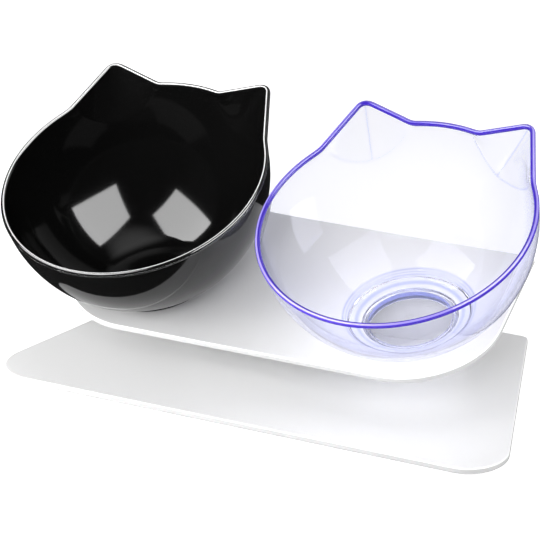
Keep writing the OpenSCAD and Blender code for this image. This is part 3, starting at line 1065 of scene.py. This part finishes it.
def makeWorld():
    # a plain white world that gloss doesn't see: the dome stands in for it there
    world = bpy.data.worlds.new("studio")
    scene.world = world
    world.use_nodes = True
    tree = world.node_tree
    tree.nodes.clear()
    output = addNode(tree, "ShaderNodeOutputWorld")
    path = addNode(tree, "ShaderNodeLightPath")
    light = addNode(tree, "ShaderNodeBackground")
    light.inputs["Color"].default_value = (1, 1, 1, 1)
    light.inputs["Strength"].default_value = studio["worldLight"]
    white = addNode(tree, "ShaderNodeBackground")
    white.inputs["Color"].default_value = (1, 1, 1, 1)
    seen = addNode(tree, "ShaderNodeMath", operation="ADD")
    choice = addNode(tree, "ShaderNodeMixShader")
    tree.links.new(path.outputs["Is Camera Ray"], seen.inputs[0])
    tree.links.new(path.outputs["Is Transmission Ray"], seen.inputs[1])
    tree.links.new(seen.outputs[0], choice.inputs[0])
    tree.links.new(light.outputs[0], choice.inputs[1])
    tree.links.new(white.outputs[0], choice.inputs[2])
    tree.links.new(choice.outputs[0], output.inputs["Surface"])
    world.cycles_visibility.glossy = False


def onlyGlossy(thing):
    for kind in ("camera", "diffuse", "transmission", "volume_scatter", "shadow"):
        setattr(thing, "visible_" + kind, False)


def makeDome():
    # what gloss sees: darkness with a soft glow straight above, but white from inside clear plastic
    material, tree, output = bareMaterial("studioDome")
    shine = addNode(tree, "ShaderNodeEmission")
    path = addNode(tree, "ShaderNodeLightPath")
    place = addNode(tree, "ShaderNodeTexCoord")
    toward = addNode(tree, "ShaderNodeVectorMath", operation="NORMALIZE")
    split = addNode(tree, "ShaderNodeSeparateXYZ")
    level = studio["domeLevel"]
    dark = (level,) * 3
    glow = rampBetween(tree, [(0.0, dark), (studio["glowFrom"], dark), (1.0, (1, 1, 1))], "EASE")
    inside = addNode(tree, "ShaderNodeMath", operation="MAXIMUM")
    inside.use_clamp = True
    tree.links.new(place.outputs["Object"], toward.inputs[0])
    tree.links.new(toward.outputs[0], split.inputs[0])
    tree.links.new(split.outputs["Z"], glow.inputs["Fac"])
    tree.links.new(glow.outputs["Color"], inside.inputs[0])
    tree.links.new(path.outputs["Transmission Depth"], inside.inputs[1])
    tree.links.new(inside.outputs[0], shine.inputs["Strength"])
    tree.links.new(shine.outputs[0], output.inputs["Surface"])
    shape = bmesh.new()
    bmesh.ops.create_uvsphere(shape, u_segments=48, v_segments=24, radius=studio["domeRadius"])
    bmesh.ops.reverse_faces(shape, faces=shape.faces)
    mesh = bpy.data.meshes.new("studioDome")
    shape.to_mesh(mesh)
    shape.free()
    dome = linkMesh("studioDome", mesh, material)
    onlyGlossy(dome)


def aimAt(thing, target):
    thing.rotation_euler = (Vector(target) - thing.location).to_track_quat("-Z", "Y").to_euler()


def makeLamp(name, place, size, power):
    lamp = bpy.data.lights.new(name, "AREA")
    lamp.size = size
    lamp.energy = power
    thing = bpy.data.objects.new(name, lamp)
    scene.collection.objects.link(thing)
    thing.location = place
    aimAt(thing, studio["lampTarget"])
    thing.visible_glossy = False
    thing.visible_camera = False


# corners are (azimuth, rise) in degrees, seen from the middle of the black bowl's ball
cards = {
    "rightBox": {"glow": 11.3, "corners": [(75.4, 31.7), (131.5, 28.6), (140.6, 60.3), (48.3, 62.7)]},
    "leftBox": {"glow": 11.3, "corners": [(-165.0, 30.2), (-105.3, 31.7), (-88.8, 58.5), (178.5, 57.4)]},
    "rearStrip": {"glow": 1.55, "corners": [(44.8, 14.0), (51.4, 20.1), (41.9, 41.4), (-0.2, 51.9),
                                           (5.3, 42.2), (27.8, 30.7)]},
    "lowStrip": {"glow": 0.95, "corners": [(17.0, 0.7), (20.9, 4.4), (11.7, 18.0), (0.4, 23.1),
                                          (-0.6, 17.0), (8.5, 9.9)]},
    "sideStrip": {"glow": 0.83, "corners": [(-102.9, 10.2), (-85.2, 13.2), (-85.2, 25.1)]},
}


def makeCard(name, glow, corners):
    # only glossy surfaces see it, and dimmer where it is mirrored twice
    points = []
    for azimuth, rise in corners:
        a, e = math.radians(azimuth), math.radians(rise)
        toward = Vector((math.sin(a) * math.cos(e), math.cos(a) * math.cos(e), math.sin(e)))
        points.append(studio["cardDistance"] * toward)
    mesh = bpy.data.meshes.new(name)
    mesh.from_pydata(points, [], [range(len(points))])
    material, tree, output = bareMaterial(name)
    shine = addNode(tree, "ShaderNodeEmission")
    path = addNode(tree, "ShaderNodeLightPath")
    once = addNode(tree, "ShaderNodeMath", operation="LESS_THAN")
    once.inputs[1].default_value = mirroredOnce
    level = addNode(tree, "ShaderNodeMapRange")
    level.inputs["To Min"].default_value = glow / studio["cardDimming"]
    level.inputs["To Max"].default_value = glow
    tree.links.new(path.outputs["Glossy Depth"], once.inputs[0])
    tree.links.new(once.outputs[0], level.inputs["Value"])
    tree.links.new(level.outputs["Result"], shine.inputs["Strength"])
    tree.links.new(shine.outputs[0], output.inputs["Surface"])
    card = linkMesh(name, mesh, material)
    card.location = blackBall.translation
    onlyGlossy(card)


# place is in millimetres from the middle of the base plate's front edge, turn is yaw, pitch and roll
photoCamera = {
    "sensor": 36,
    "lens": 175.4,
    "shift": (-0.0296, -0.0111),
    "clip": (0.05, 50),
    "turn": (-26.82, 23.75, 1.35),
    "place": (515.6, -958.1, 560.3),
}


def makeCamera():
    c = photoCamera
    data = bpy.data.cameras.new("photoCamera")
    data.sensor_width = c["sensor"]
    data.lens = c["lens"]
    data.shift_x, data.shift_y = c["shift"]
    data.clip_start, data.clip_end = c["clip"]
    camera = bpy.data.objects.new("photoCamera", data)
    scene.collection.objects.link(camera)
    yaw, pitch, roll = (math.radians(v) for v in c["turn"])
    ahead = Vector((math.sin(yaw) * math.cos(pitch), math.cos(yaw) * math.cos(pitch), -math.sin(pitch)))
    right = Vector((math.cos(yaw), -math.sin(yaw), 0))
    down = ahead.cross(right)
    turnedRight = right * math.cos(roll) + down * math.sin(roll)
    turnedDown = down * math.cos(roll) - right * math.sin(roll)
    turn = Matrix((turnedRight, -turnedDown, -ahead)).transposed().to_4x4()
    place = Vector(c["place"]) * mm + Vector((0, baseFront, baseUnder))
    camera.matrix_world = Matrix.Translation(place) @ turn
    scene.camera = camera


makeFloor()
makeWorld()
makeDome()
for lampName in ("overhead", "front", "leftFill", "rightFill"):
    makeLamp(lampName, **studio[lampName])
for cardName, facts in cards.items():
    makeCard(cardName, **facts)
makeCamera()
scene.view_settings.view_transform = "Standard"
print("studio made")
